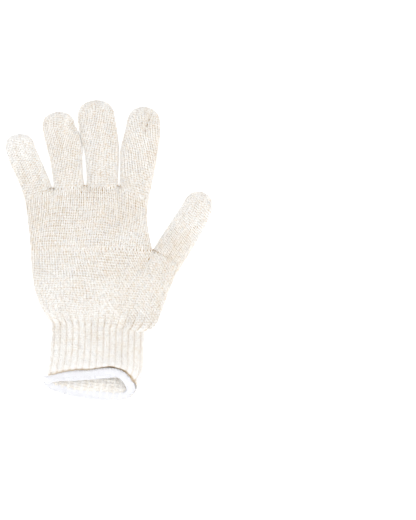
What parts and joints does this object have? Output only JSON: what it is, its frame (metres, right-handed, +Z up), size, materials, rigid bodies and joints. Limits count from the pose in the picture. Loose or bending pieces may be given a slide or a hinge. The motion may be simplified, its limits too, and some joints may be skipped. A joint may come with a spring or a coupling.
{
  "type": "glove liner",
  "caption": "Flat-lying knitted glove liner with a ribbed cuff, an open mouth and an overlocked white edge, hollow into every finger.",
  "frame": {"origin": "middle of the bounding box, on the table that the glove lies on", "axes": "+Y from the cuff to the fingertips, +X to the thumb, +Z up from the table"},
  "size_m": [0.1727, 0.249, 0.0136],
  "materials": {
    "hand_knit": "heathered cream cotton yarn, plain knit, matt",
    "cuff_knit": "heathered cream cotton yarn with elastic, ribbed, matt",
    "overlock_thread": "white overlock thread, matt"
  },
  "bodies": {
    "root": {"little_finger": "hand_knit", "ring_finger": "hand_knit", "middle_finger": "hand_knit", "index_finger": "hand_knit", "thumb": "hand_knit", "palm": "hand_knit", "ribbed_cuff": "cuff_knit", "overlock_hem": "overlock_thread"}
  },
  "joints": []
}
